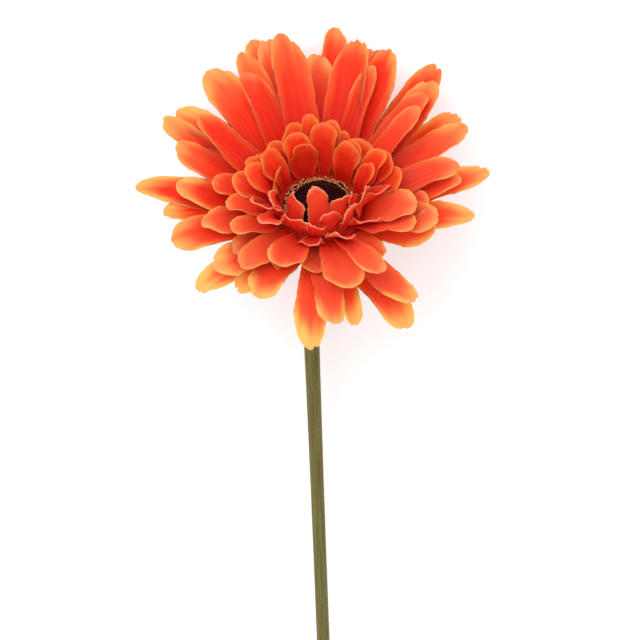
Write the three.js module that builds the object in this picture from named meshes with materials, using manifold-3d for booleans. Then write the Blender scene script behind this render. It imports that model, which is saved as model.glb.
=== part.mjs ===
// A cut gerbera lying on a table, face turned up: a double orange bloom, its green calyx and a bare stem.
// Millimetres, +Z up. The stem points to -Y and the bloom looks up and towards +Y.
import * as THREE from 'three';
import { mergeVertices } from 'three/addons/utils/BufferGeometryUtils.js';
import Module from 'manifold-3d';

const wasm = await Module();
wasm.setup();

// ---- the bloom as it lies ----
const faceLift = 38;          // degrees from the table up to the line the bloom faces along
const eyeHeight = 45;         // middle of the dark eye above the table
const petalThick = 0.7;       // a ray floret, drawn stiffer than the real 0.4
const seam = 0.3;             // left free between neighbouring parts
const bluntest = 0.16;        // a tip never narrows below this share of the width

// ---- heart of the bloom, along its own axis, with height 0 at the rim of the eye ----
const eyeRadius = 10;         // dark unopened florets
const eyeFloor = -2;
const eyeSides = 28;
const rimInner = 10.4;        // golden rim of anthers
const rimOuter = 11.6;
const bandTop = 0.6;          // top of the smooth band that the anthers stand in
const antherCount = 38;
const antherTip = 0.28;       // radius at the top of an anther
const antherFoot = 0.5;
const antherHeight = 2.4;
const antherSpread = 0.5;     // an anther is at most this much longer or shorter
const antherBottom = -0.4;
const budCount = 52;          // dark florets of the eye, still shut
const budRadius = 0.9;
const budTip = 0.4;           // radius at the top of a bud
const budHeight = 1.7;
const budBottom = -0.5;
const goldenAngle = 137.5;    // degrees from one bud to the next
const wellRadius = rimOuter + seam;
const roomTop = 3.1;          // kept clear above the anthers
const heartTop = 1.4;
const heartProfile = [[0, -7], [11.2, -7], [13.6, -5.8], [15, -0.6], [14.3, 0.9], [13, heartTop]];
const heartSides = 30;

// ---- calyx and stem ----
const calyxTop = -7 - seam;
const calyxFoot = -17;
const calyxProfile = [[3.1, calyxFoot], [4.6, -15.6], [8, -12.6], [10.2, -9.8], [11, calyxTop]];
const calyxSides = 24;
const bract = { roll: 0, twist: 0, sway: 0, blunt: 1.5, sunk: 1.2, foot: 0.8, open: 0.3, broad: 0.3, cup: 0.5 };
const bractRows = [
  { count: 12, first: 4, height: -15.4, radius: 3.9, length: 7.6, width: 4.4, rise: 42, bend: 8 },
  { count: 14, first: 16, height: -12.4, radius: 7.2, length: 6, width: 4.6, rise: 48, bend: 6 },
];
const neckRadius = 3.05;
const cutEndRadius = 2.2;
const stemBend = 75;          // radius of the bend under the bloom
const stemSlope = 3.1;        // degrees, the long straight stretch falling to the table
const stemBow = 4.4;          // the stem first leans this far to the left
const bowLength = 34;
const stemDrift = 2.05;       // degrees, then runs slowly back to the right
const cutEndSink = 0.2;       // pressed flat where the cut end rests
const cutSlant = 1.8;         // the cut is a little slanted
const stemSides = 14;
const stemRows = 26;
const thinningLength = 60;    // most of the stem's taper lies within this length below the neck

// ---- ray florets ----
// Every ring sets `count` florets at equal steps from `first` degrees, 90 being the back of the bloom.
// `behind` is added to the length at the back and taken off at the front, `lean` likewise to the rise.
// `open` is the share of the length where the full width is reached, `broad` the share where the tip begins.
// `odd` names the florets that lie out of line: turned by degrees, longer and wider by millimetres,
// and for some also raised, rolled and swayed by degrees.
const rings = {
  back: {
    count: 20, first: 11, length: 50, behind: 7, width: 11, rise: 13, lean: 6, bend: -4,
    radius: 12.5, height: -4.5, sunk: 2.5, foot: 0.6, open: 0.4, broad: 0.7, cup: 0.3, loose: 2, rows: 5,
    absent: [17, 18], pointed: [0, 9, 19],
    odd: {
      0: [-1, -6, 0], 1: [6, -8, 0], 2: [5, -1, 0], 3: [8, 1, 0, -1], 4: [1, 1, 0, 2], 5: [4, 1, 0, 1],
      6: [-11, 3, 0, -1], 7: [4, -5, 0], 8: [-4.5, -4, 0], 9: [0, -2, 1], 10: [-10, -11, 0],
      11: [-17, -12, 0], 12: [-8, -7, -3], 13: [-14, -15, -2], 14: [3, -1, -1], 15: [4, -8, -3],
      16: [2, 0, 0], 19: [2, -11, 0],
    },
  },
  second: {
    count: 17, first: 8, length: 42, behind: 8, width: 11.8, rise: 20, lean: 7, bend: -4,
    radius: 13, height: -3, sunk: 2.5, foot: 0.6, open: 0.4, broad: 0.7, cup: 0.32, loose: 2, rows: 5,
    absent: [12, 15], pointed: [],
    odd: {
      0: [-2, -8, 0], 1: [-2, -2, 0], 2: [-4, -1, 0], 3: [-5, 0, 0], 4: [-1, -3, 0], 5: [3, 1, -1],
      6: [-8, 2.5, 2], 7: [4, -5, 0], 8: [1, -7, 0], 9: [1, -1, 0], 10: [1, -4, 0], 11: [1, -5, 0],
      13: [-9, 5, -2], 14: [-2, 6, -1], 16: [-10, -11, 0],
    },
  },
  third: {
    count: 16, first: 16, length: 33, behind: 8, width: 11.5, rise: 27, lean: 8, bend: -4,
    radius: 13.5, height: -1.5, sunk: 1.2, foot: 0.6, open: 0.4, broad: 0.68, cup: 0.35, loose: 2, rows: 5,
    absent: [], pointed: [],
    odd: {
      0: [-4, 0, 0], 1: [7, 2, -2], 2: [9, 0, -4], 3: [-7, 7, 0], 4: [-4, 9, 0], 5: [-8, 1, 0],
      6: [-2, 1, 0], 7: [0, -10, 0], 8: [3, -2, 0], 9: [0, -6, 0, -2.5], 10: [0, -10, 0, -9],
      11: [0, -10, 0, -5.5], 12: [0, -6, 0, -5.5], 13: [0, -9, 0, -5.5], 14: [10, -2, 0], 15: [0, -8, 0],
    },
  },
  crown: {
    count: 20, first: 14, length: 20.5, behind: -3.5, width: 9, rise: 42, lean: 19, bend: -14,
    radius: 13.5, height: 0, sunk: 1, foot: 0.5, open: 0.6, broad: 0.66, cup: 0.5, loose: 3, rows: 3,
    absent: [14, 17], pointed: [],
    odd: {
      0: [-2, -2, 2], 1: [-6, -1, 1], 2: [2, -2, 1], 3: [3, -1, -2], 4: [-4, 2, 0], 5: [-6, 4, -2],
      6: [-10, 2, -1], 7: [-8, -2, 0], 8: [-7, -2, 0], 12: [0, 2, 1, -3, -12], 13: [-1, -1.5, 2.5, 5, -12],
      15: [-2, 4.5, 4, -2, -10, 6], 16: [-6, 7, 2, 4, -14], 18: [-7, 1.5, 4], 19: [-10, 0, 3.5],
    },
  },
  inner: {
    count: 12, first: 25, length: 17, behind: 1, width: 8.5, rise: 63, lean: 9, bend: -14,
    radius: 13.3, height: 1, sunk: 1.8, foot: 0.5, open: 0.6, broad: 0.66, cup: 0.5, loose: 4, rows: 3,
    absent: [], pointed: [],
    odd: {
      0: [0, 1, 1], 1: [-2, -3, 0], 2: [2, 0, 0.5], 3: [0, -1, 0.5], 4: [5, -1.5, 1], 5: [-4, 1, 1.5],
      6: [0, 0, 0, 0, 30], 7: [-14, 0, 0, 0, 25], 8: [-4, -7, -1, -22], 9: [-4, -3, 0, 0, -20],
      10: [-4, -3, 0, 0, -35], 11: [0, -3, 0, 0, -35],
    },
  },
  eyelash: {
    count: 10, first: 22, length: 13, behind: 0, width: 8, rise: 78, lean: -4, bend: -2,
    radius: 12.9, height: 1, sunk: 1.8, foot: 0.5, open: 0.6, broad: 0.64, cup: 0.5, loose: 5, rows: 3,
    absent: [2], pointed: [0],
    odd: {
      0: [-2, 2, -0.5, 0, 25], 1: [-3, 2, 1], 3: [-20, 1, 2], 4: [-11, -4, 2.5], 6: [0, -1, 0, -6],
      7: [-14, -2, 1, -12], 8: [0, 0, 0, -6],
    },
  },
  curl: {
    count: 15, first: 226, length: 17, behind: 0, width: 7.5, rise: 106, lean: 0, bend: 6,
    radius: 12.9, height: 1, sunk: 1.8, foot: 0.5, open: 0.55, broad: 0.6, cup: 0.5, loose: 4, rows: 4,
    absent: [5, 6, 7, 8, 9, 10, 11, 12, 13, 14], pointed: [1],
    odd: {
      0: [-9, -5, 2, 0, 10, -10], 1: [24, 2, 1, 0, 0, 34], 2: [12, -7, -0.5, -14], 3: [14, -3, 0, 0, 0, -6],
      4: [22, -8, -1],
    },
  },
  stray: {
    count: 1, first: 38, length: 35, behind: 0, width: 9, rise: 41, lean: 0, bend: -4,
    radius: 13.6, height: -0.5, sunk: 1.2, foot: 0.6, open: 0.4, broad: 0.66, cup: 0.4, loose: 1, rows: 5,
    absent: [], pointed: [],
    odd: { 0: [0, 0, 0] },
  },
};
const floretSeed = 20535;
const antherSeed = 611;

const radians = THREE.MathUtils.degToRad;

// The same stream of even numbers from -1 to 1 each time the file runs.
function seededDraw(seed) {
  let state = seed;
  return () => {
    state = (state * 1664525 + 1013904223) % 4294967296;
    return (state / 4294967296) * 2 - 1;
  };
}

// ---- solids ----
// The closed solid of a geometry: its corners merged, and the flat slivers on a lathe's axis left out.
function solidOf(geometry) {
  geometry.deleteAttribute('normal');
  geometry.deleteAttribute('uv');
  const merged = mergeVertices(geometry);
  const kept = [];
  for (let i = 0; i < merged.index.count; i += 3) {
    const corners = [0, 1, 2].map((k) => merged.index.getX(i + k));
    if (new Set(corners).size === 3) kept.push(...corners);
  }
  const vertProperties = new Float32Array(merged.attributes.position.array);
  return new wasm.Manifold(new wasm.Mesh({ numProp: 3, vertProperties, triVerts: new Uint32Array(kept) }));
}

// A solid turned about the bloom's axis from [radius, height] pairs, upwards, from the axis back to it.
function turnedSolid(profile, sides) {
  const points = profile.map(([radius, height]) => new THREE.Vector2(radius, height));
  return solidOf(new THREE.LatheGeometry(points, sides).rotateX(Math.PI / 2));
}

// A small tapered post on the bloom's axis side, standing on `foot`.
function post(topRadius, footRadius, height, sides, reach, turn, foot) {
  const geometry = new THREE.CylinderGeometry(topRadius, footRadius, height, sides).rotateX(Math.PI / 2);
  geometry.translate(reach * Math.cos(turn), reach * Math.sin(turn), foot + height / 2);
  return solidOf(geometry);
}

function joined(solids) {
  return solids.reduce((whole, next) => whole.add(next));
}

// Moves every corner of a geometry to the place that `placeOf` gives for it.
function reshaped(geometry, placeOf) {
  const corners = geometry.attributes.position;
  const corner = new THREE.Vector3();
  for (let i = 0; i < corners.count; i += 1) {
    corner.fromBufferAttribute(corners, i);
    const place = placeOf(corner);
    corners.setXYZ(i, place.x, place.y, place.z);
  }
  return geometry;
}

// ---- one floret or bract ----
// Share of the full half width at a share `u` of the length: a narrow foot, then broad, then a round tip.
function widthShare(u, leaf) {
  const t = THREE.MathUtils.clamp(u / leaf.open, 0, 1);
  const opening = leaf.foot + (1 - leaf.foot) * (t * t * (3 - 2 * t)) ** 0.75;
  const s = Math.max((u - leaf.broad) / (1 - leaf.broad), 0);
  return Math.max(opening * Math.sqrt(1 - s ** leaf.blunt), bluntest);
}

// The way the blade runs at a share `u` of its length: it bends and sways evenly on its way out.
function headingAt(u, leaf) {
  const up = radians(leaf.rise + leaf.bend * u);
  const round = radians(leaf.turn + leaf.sway * u);
  return new THREE.Vector3(Math.cos(up) * Math.cos(round), Math.cos(up) * Math.sin(round), Math.sin(up));
}

function midlineAt(u, leaf) {
  const turn = radians(leaf.turn);
  const place = new THREE.Vector3(leaf.radius * Math.cos(turn), leaf.radius * Math.sin(turn), leaf.height);
  const paces = 12;
  for (let k = 0; k < paces; k += 1) {
    place.addScaledVector(headingAt((u * (k + 0.5)) / paces, leaf), (leaf.length * u) / paces);
  }
  return place;
}

// A point of the blade: `u` along it, `v` from edge to edge (-1 to 1), `lift` off its middle surface.
// Across, the blade is an arc of half angle `cup`; `roll` and `twist` turn it about its midline.
function bladePoint(u, v, lift, leaf) {
  const round = radians(leaf.turn + leaf.sway * u);
  const side = new THREE.Vector3(-Math.sin(round), Math.cos(round), 0);
  const up = headingAt(u, leaf).cross(side);
  const roll = radians(leaf.roll + leaf.twist * u);
  const across = side.clone().multiplyScalar(Math.cos(roll)).addScaledVector(up, Math.sin(roll));
  const above = up.clone().multiplyScalar(Math.cos(roll)).addScaledVector(side, -Math.sin(roll));
  const half = (leaf.width / 2) * widthShare(u, leaf);
  const angle = leaf.cup * v;
  const aside = Math.sin(angle) * (half / leaf.cup - lift);
  const raised = (1 - Math.cos(angle)) * (half / leaf.cup) + Math.cos(angle) * lift;
  return midlineAt(u, leaf).addScaledVector(across, aside).addScaledVector(above, raised);
}

// A box of 2 by 1 by 1 shaped into the blade, with its foot sunk into what carries it.
// Its rows of corners lie a little closer towards the round tip.
function blade(leaf, rows) {
  const sunkShare = leaf.sunk / leaf.length;
  const crowding = 1.25;
  const box = new THREE.BoxGeometry(2, 1, 1, 2, rows, 1);
  const shaped = reshaped(box, (corner) => {
    const along = 1 - (0.5 - corner.y) ** crowding;
    return bladePoint(along * (1 + sunkShare) - sunkShare, -corner.x, corner.z * petalThick, leaf);
  });
  return solidOf(shaped);
}

function ringFlorets(ring, draw) {
  const florets = [];
  for (let i = 0; i < ring.count; i += 1) {
    const [j0, j1, j2, j3, j4, j5] = [draw(), draw(), draw(), draw(), draw(), draw()];
    const own = ring.odd[i] || [j0 * 2, j1 * 1.5, 0];
    const [aside, longer, wider, raised = 0, rolled = 0, swayed = 0] = own;
    const turn = ring.first + (i * 360) / ring.count + aside;
    const atBack = Math.sin(radians(turn));
    const floret = {
      turn,
      length: ring.length + ring.behind * atBack + longer,
      width: ring.width + wider + j2,
      rise: ring.rise + ring.lean * atBack + j3 * ring.loose + raised,
      bend: ring.bend + j4 * 2,
      roll: j5 * 10 + rolled,
      twist: j0 * 8,
      sway: j1 * 4 + swayed,
      blunt: ring.pointed.includes(i) ? 1.5 : 2.6,
    };
    if (!ring.absent.includes(i)) florets.push({ ...ring, ...floret });
  }
  return florets.map((floret) => blade(floret, ring.rows));
}

// ---- the bloom's parts, along its own axis ----
function petals(table) {
  const draw = seededDraw(floretSeed);
  const wellFloor = eyeFloor - seam;
  const well = [[wellRadius, heartTop], [wellRadius, wellFloor], [0, wellFloor]];
  const heart = turnedSolid([...heartProfile, ...well], heartSides);
  const florets = Object.values(rings).flatMap((ring) => ringFlorets(ring, draw));
  const roomProfile = [[0, wellFloor], [wellRadius, wellFloor], [wellRadius, roomTop], [0, roomTop]];
  const room = turnedSolid(roomProfile, heartSides);
  return joined([heart, ...florets]).subtract(room).subtract(table);
}

// Closed florets of the dark eye, set out along the golden angle.
function eye() {
  const bedProfile = [[0, eyeFloor], [eyeRadius, eyeFloor], [eyeRadius, 0], [eyeRadius * 0.6, 0.5], [0, 0.2]];
  const bed = turnedSolid(bedProfile, eyeSides);
  const buds = [];
  for (let k = 0; k < budCount; k += 1) {
    const reach = (eyeRadius - budRadius) * Math.sqrt((k + 0.5) / budCount);
    buds.push(post(budTip, budRadius, budHeight, 5, reach, radians(goldenAngle) * k, budBottom));
  }
  return joined([bed, ...buds]);
}

// A low golden band, crowded with the tips of anthers.
function antherRim() {
  const outline = [[rimInner, eyeFloor], [rimOuter, eyeFloor], [rimOuter, bandTop], [rimInner, bandTop]];
  const band = turnedSolid([...outline, outline[0]], antherCount);
  const draw = seededDraw(antherSeed);
  const tips = [];
  for (let k = 0; k < antherCount; k += 1) {
    const turn = ((k + 0.5) / antherCount) * 2 * Math.PI;
    const height = antherHeight + draw() * antherSpread;
    tips.push(post(antherTip, antherFoot, height, 4, (rimInner + rimOuter) / 2, turn, antherBottom));
  }
  return joined([band, ...tips]);
}

function bractsOf(row) {
  const bracts = [];
  for (let i = 0; i < row.count; i += 1) {
    bracts.push(blade({ ...bract, ...row, turn: row.first + (i * 360) / row.count }, 4));
  }
  return bracts;
}

function calyx() {
  const cup = turnedSolid([[0, calyxFoot], ...calyxProfile, [0, calyxTop]], calyxSides);
  return joined([cup, ...bractRows.flatMap(bractsOf)]);
}

// ---- the stem, as it lies ----
const bendLength = stemBend * radians(faceLift - stemSlope);

// Middle of the stem at a distance along it: a bend down from the bloom, then one long straight stretch.
function stemPlace(along, start) {
  const bent = Math.min(along, bendLength);
  const angle = radians(faceLift) - bent / stemBend;
  const straight = along - bent;
  const back = stemBend * (Math.sin(radians(faceLift)) - Math.sin(angle)) + straight * Math.cos(angle);
  const down = stemBend * (Math.cos(angle) - Math.cos(radians(faceLift))) + straight * Math.sin(angle);
  const bow = stemBow * THREE.MathUtils.smoothstep(along, 0, bowLength);
  const aside = along * Math.tan(radians(stemDrift)) - bow;
  return new THREE.Vector3(start.x + aside, start.y - back, start.z - down);
}

// Thickest at the neck, it thins evenly and soon to the thickness of the cut end.
function stemRadius(along) {
  return cutEndRadius + (neckRadius - cutEndRadius) * Math.exp(-along / thinningLength);
}

// A cylinder drawn out along the stem's middle line, from the neck at `start` to the slanted cut,
// its rows closer in the bend near the neck.
function stem(start, table) {
  const fall = stemPlace(bendLength, start).z - cutEndRadius + cutEndSink;
  const length = bendLength + fall / Math.sin(radians(stemSlope));
  const crowding = 1.4;
  const cylinder = new THREE.CylinderGeometry(1, 1, 1, stemSides, stemRows);
  const shaped = reshaped(cylinder, (corner) => {
    const along = length * (0.5 - corner.y) ** crowding;
    const line = stemPlace(along + 1, start).sub(stemPlace(Math.max(along - 1, 0), start)).normalize();
    const side = new THREE.Vector3(1, 0, 0).addScaledVector(line, -line.x).normalize();
    const up = new THREE.Vector3().crossVectors(line, side);
    const slant = corner.y < -0.49 ? cutSlant * (1 + corner.z) : 0;
    const spot = stemPlace(along, start).addScaledVector(line, -slant);
    const radius = stemRadius(along);
    return spot.addScaledVector(side, radius * corner.x).addScaledVector(up, radius * corner.z);
  });
  return solidOf(shaped).subtract(table);
}

// ---- the flower ----
function asMesh(name, solid, color, roughness) {
  const { vertProperties, triVerts } = solid.getMesh();
  const geometry = new THREE.BufferGeometry();
  geometry.setAttribute('position', new THREE.BufferAttribute(new Float32Array(vertProperties), 3));
  geometry.setIndex(new THREE.BufferAttribute(new Uint32Array(triVerts), 1));
  geometry.computeVertexNormals();
  const mesh = new THREE.Mesh(geometry, new THREE.MeshStandardMaterial({ color, roughness, metalness: 0 }));
  mesh.name = name;
  return mesh;
}

const bloom = new THREE.Group();
bloom.rotation.x = radians(faceLift - 90);
bloom.position.z = eyeHeight;
bloom.updateMatrixWorld(true);

// What would sink into the table is taken off flat: the lowest tips and the underside of the cut end.
const tableSlab = new THREE.BoxGeometry(900, 900, 20).translate(0, 0, -10);
const tableInBloom = tableSlab.clone().applyMatrix4(bloom.matrixWorld.clone().invert());
const neck = new THREE.Vector3(0, 0, calyxFoot - seam).applyMatrix4(bloom.matrixWorld);

bloom.add(asMesh('petals', petals(solidOf(tableInBloom)), 0xe8481f, 0.55));
bloom.add(asMesh('disc', eye(), 0x2c0a14, 0.85));
bloom.add(asMesh('anthers', antherRim(), 0xb9803c, 0.8));
bloom.add(asMesh('calyx', calyx(), 0x6f7f3c, 0.7));

const flower = new THREE.Group();
flower.name = 'cut_gerbera';
flower.add(bloom, asMesh('stem', stem(neck, solidOf(tableSlab)), 0x76703f, 0.6));

// The flower's own frame: the middle of its footprint, on the table.
const box = new THREE.Box3().setFromObject(flower, true);
const middle = box.getCenter(new THREE.Vector3());
flower.position.set(-middle.x, -middle.y, -box.min.z);

export default flower;
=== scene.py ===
# Cut gerbera, lying with its face turned up. The scene is in metres; sizes below are millimetres and degrees.
import bpy
import numpy as np
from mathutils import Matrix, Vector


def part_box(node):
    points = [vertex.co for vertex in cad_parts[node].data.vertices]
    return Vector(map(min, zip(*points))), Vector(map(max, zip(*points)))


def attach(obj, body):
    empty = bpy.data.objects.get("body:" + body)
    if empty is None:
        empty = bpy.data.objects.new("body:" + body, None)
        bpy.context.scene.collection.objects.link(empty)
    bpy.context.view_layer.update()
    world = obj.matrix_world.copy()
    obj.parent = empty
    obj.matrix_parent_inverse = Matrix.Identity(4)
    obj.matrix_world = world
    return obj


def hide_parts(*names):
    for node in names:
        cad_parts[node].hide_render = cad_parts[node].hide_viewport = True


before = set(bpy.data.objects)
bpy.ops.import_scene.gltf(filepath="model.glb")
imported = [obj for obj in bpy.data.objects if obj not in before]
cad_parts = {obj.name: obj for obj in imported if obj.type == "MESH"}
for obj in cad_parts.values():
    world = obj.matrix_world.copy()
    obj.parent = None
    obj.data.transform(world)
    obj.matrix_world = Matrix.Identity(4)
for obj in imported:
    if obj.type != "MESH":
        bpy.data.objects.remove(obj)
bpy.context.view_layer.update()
mm = 0.001
print("frame loaded")

# The bloom looks out faceLift degrees above the table. The golden rim's box gives the middle of the eye:
# its lowest y and z corners lie on the band's floor.
faceLift = 38.0
rim = {"inner": 10.4, "outer": 11.6, "floor": -2.0, "bandTop": 0.1, "top": 2.3, "rows": 2, "count": 96}
liftSin = np.sin(np.radians(faceLift))
liftCos = np.cos(np.radians(faceLift))
rimLow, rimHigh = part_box("anthers")
eyeMiddle = np.array([
    (rimLow[0] + rimHigh[0]) / 2,
    rimLow[1] + (rim["outer"] * liftSin - rim["floor"] * liftCos) * mm,
    rimLow[2] + (rim["outer"] * liftCos - rim["floor"] * liftSin) * mm,
])


def bloomToPart(points):
    # turned about X by faceLift - 90 degrees, then moved to the middle of the eye
    x, y, z = points[..., 0], points[..., 1], points[..., 2]
    tilted = np.stack([x, y * liftSin + z * liftCos, z * liftSin - y * liftCos], -1)
    return tilted * mm + eyeMiddle


def addObject(name, data):
    # an object at the origin, linked to the scene
    thing = bpy.data.objects.new(name, data)
    bpy.context.scene.collection.objects.link(thing)
    return thing


# distance, below and nearest are in metres
view = {"lean": 15.0, "lens": 121.3, "distance": 0.7, "below": 0.0364, "nearest": 0.01}


def addCamera():
    # looks down from the bloom's side; the eye stands above the middle of the picture
    lean = np.radians(view["lean"])
    upward = np.array([0, np.cos(lean), -np.sin(lean)])
    towards = np.array([0, np.sin(lean), np.cos(lean)])
    data = bpy.data.cameras.new("camera")
    data.lens = view["lens"]
    data.clip_start = view["nearest"]
    camera = addObject("camera", data)
    camera.location = eyeMiddle + towards * view["distance"] - upward * view["below"]
    camera.rotation_euler = (-lean, 0, 0)
    bpy.context.scene.camera = camera


addCamera()
print("camera placed")


def evenDraws(seed, count):
    # the same numbers from -1 to 1 each run: state * 1664525 + 1013904223, modulo 2^32
    state = seed
    span = 2 ** 32
    draws = np.zeros(count)
    for i in range(count):
        state = (state * 1664525 + 1013904223) % span
        draws[i] = state / span * 2 - 1
    return draws


def aboveTable(points):
    # below 1.5 mm the height eases off, so nothing dips into the table: h = e * exp(z / e - 1)
    ease = 0.0015
    height = points[..., 2]
    points[..., 2] = np.where(height < ease, ease * np.exp(np.minimum(height, ease) / ease - 1), height)
    return points


def addPiece(name, points, faces, material, node, uv=None, marks=None):
    # points (n, 3) in metres, faces (m, 4); uv (n, 2) and marks {name: (n,)} are given for each point
    mesh = bpy.data.meshes.new(name)
    mesh.from_pydata(points.tolist(), [], faces.tolist())
    if uv is not None:
        layer = mesh.uv_layers.new(name="grain")
        corners = np.zeros(len(mesh.loops), dtype=np.int32)
        mesh.loops.foreach_get("vertex_index", corners)
        layer.data.foreach_set("uv", uv[corners].ravel().astype(np.float32))
    for key, values in (marks or {}).items():
        attribute = mesh.attributes.new(key, "FLOAT", "POINT")
        attribute.data.foreach_set("value", values.astype(np.float32))
    mesh.polygons.foreach_set("use_smooth", np.full(len(mesh.polygons), True))
    mesh.materials.append(material)
    mesh.update()
    piece = addObject(name, mesh)
    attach(piece, "root")
    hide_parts(node)


def ringFaces(rows, columns, copies=1):
    # quads of a grid that is closed round its columns; its two ends are zipped shut; repeated for each copy
    row = np.arange(rows - 1)[:, None] * columns
    column = np.arange(columns)[None, :]
    after = (column + 1) % columns
    skin = np.stack([row + column, row + after, row + columns + after, row + columns + column], -1)
    k = np.arange(columns // 2 - 1)
    near = np.stack([columns - 1 - k, columns - 2 - k, k + 1, k], -1)
    far = near[:, ::-1] + (rows - 1) * columns
    one = np.concatenate([skin.reshape(-1, 4), near, far])
    return (one[None] + (np.arange(copies) * rows * columns)[:, None, None]).reshape(-1, 4)


def hoopFaces(rows, columns):
    # quads of a grid that is closed both ways, round its rows and round its columns
    row = np.arange(rows)[:, None] * columns
    column = np.arange(columns)[None, :]
    nextRow = np.roll(np.arange(rows), -1)[:, None] * columns
    after = (column + 1) % columns
    return np.stack([row + column, row + after, nextRow + after, nextRow + column], -1).reshape(-1, 4)


def anglesRound(sides):
    # equal steps once round, in radians
    return np.arange(sides) / sides * 2 * np.pi


def turned(profile, sides):
    # [radius, height] pairs turned about the bloom's axis
    profile = np.array(profile, float)
    angle = anglesRound(sides)
    x = profile[:, 0, None] * np.cos(angle)
    y = profile[:, 0, None] * np.sin(angle)
    return np.stack([x, y, profile[:, 1, None] + 0 * angle], -1)


def newSkin(name):
    # a material with its node tree and its shader
    material = bpy.data.materials.new(name)
    material.use_nodes = True
    return material, material.node_tree, material.node_tree.nodes["Principled BSDF"]


def feed(tree, socket, value):
    # a number or a colour is set on the socket, and anything else is linked to it
    if isinstance(value, (int, float)):
        socket.default_value = value
    elif isinstance(value, tuple):
        socket.default_value = (*value, 1)
    else:
        tree.links.new(value, socket)


def ramp(tree, value, stops):
    # blends from colour to colour at the given places between 0 and 1
    node = tree.nodes.new("ShaderNodeValToRGB")
    elements = node.color_ramp.elements
    while len(elements) < len(stops):
        elements.new(0.5)
    for element, (place, color) in zip(elements, stops):
        element.position = place
        element.color = (*color, 1)
    tree.links.new(value, node.inputs[0])
    return node.outputs[0]


def mix(tree, factor, first, second):
    # first where the factor is 0, second where it is 1; for colours the node's own sockets are 6, 7 and 2
    node = tree.nodes.new("ShaderNodeMix")
    node.data_type = "RGBA"
    feed(tree, node.inputs[0], factor)
    feed(tree, node.inputs[6], first)
    feed(tree, node.inputs[7], second)
    return node.outputs[2]


def calc(tree, operation, first, second=0.0):
    # one step of arithmetic on two values
    node = tree.nodes.new("ShaderNodeMath")
    node.operation = operation
    feed(tree, node.inputs[0], first)
    feed(tree, node.inputs[1], second)
    return node.outputs[0]


def plus(tree, first, second):
    return calc(tree, "ADD", first, second)


def times(tree, first, second):
    return calc(tree, "MULTIPLY", first, second)


def swing(tree, value, amount):
    # (value - 0.5) * amount
    return times(tree, calc(tree, "SUBTRACT", value, 0.5), amount)


def fade(tree, value, between):
    # 0 below the first of the pair, 1 above the second, smooth between
    node = tree.nodes.new("ShaderNodeMapRange")
    node.interpolation_type = "SMOOTHSTEP"
    node.inputs["From Min"].default_value, node.inputs["From Max"].default_value = between
    tree.links.new(value, node.inputs["Value"])
    return node.outputs["Result"]


def mark(tree, name):
    # one of the piece's marks, see addPiece
    node = tree.nodes.new("ShaderNodeAttribute")
    node.attribute_name = name
    return node.outputs["Fac"]


def noise(tree, place, scale, detail=2.0, rough=0.5):
    # soft noise from 0 to 1, read at a place
    node = tree.nodes.new("ShaderNodeTexNoise")
    node.inputs["Scale"].default_value = scale
    node.inputs["Detail"].default_value = detail
    node.inputs["Roughness"].default_value = rough
    tree.links.new(place, node.inputs["Vector"])
    return node.outputs["Fac"]


def grain(tree, values, scales, detail=3.0, rough=0.5):
    # noise read at three values, each with a scale of its own
    place = tree.nodes.new("ShaderNodeCombineXYZ")
    for socket, value, scale in zip(place.inputs, values, scales):
        tree.links.new(times(tree, value, scale), socket)
    return noise(tree, place.outputs[0], 1.0, detail, rough)


def speckle(tree, scale, detail=2.0):
    # noise on the Object coordinates, its scale per metre
    return noise(tree, tree.nodes.new("ShaderNodeTexCoord").outputs["Object"], scale, detail)


def grainUV(tree):
    # the piece's own two coordinates, across and along it
    uv = tree.nodes.new("ShaderNodeUVMap")
    uv.uv_map = "grain"
    split = tree.nodes.new("ShaderNodeSeparateXYZ")
    tree.links.new(uv.outputs[0], split.inputs[0])
    return split.outputs[0], split.outputs[1]


def bump(tree, shader, height, strength, depth):
    # the height tilts the surface to the light; depth in metres
    node = tree.nodes.new("ShaderNodeBump")
    node.inputs["Strength"].default_value = strength
    node.inputs["Distance"].default_value = depth
    tree.links.new(height, node.inputs["Height"])
    tree.links.new(node.outputs[0], shader.inputs["Normal"])


def finish(tree, shader, color, roughness, shine):
    # the colour is linked, and roughness and shine are the same all over
    tree.links.new(color, shader.inputs["Base Color"])
    shader.inputs["Roughness"].default_value = roughness
    shader.inputs["Specular IOR Level"].default_value = shine


def glow(shader, weight, reach):
    # light travels on below the surface, by reach metres for red, green and blue
    shader.inputs["Subsurface Weight"].default_value = weight
    shader.inputs["Subsurface Radius"].default_value = reach
    shader.inputs["Subsurface Scale"].default_value = 1.0


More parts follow.
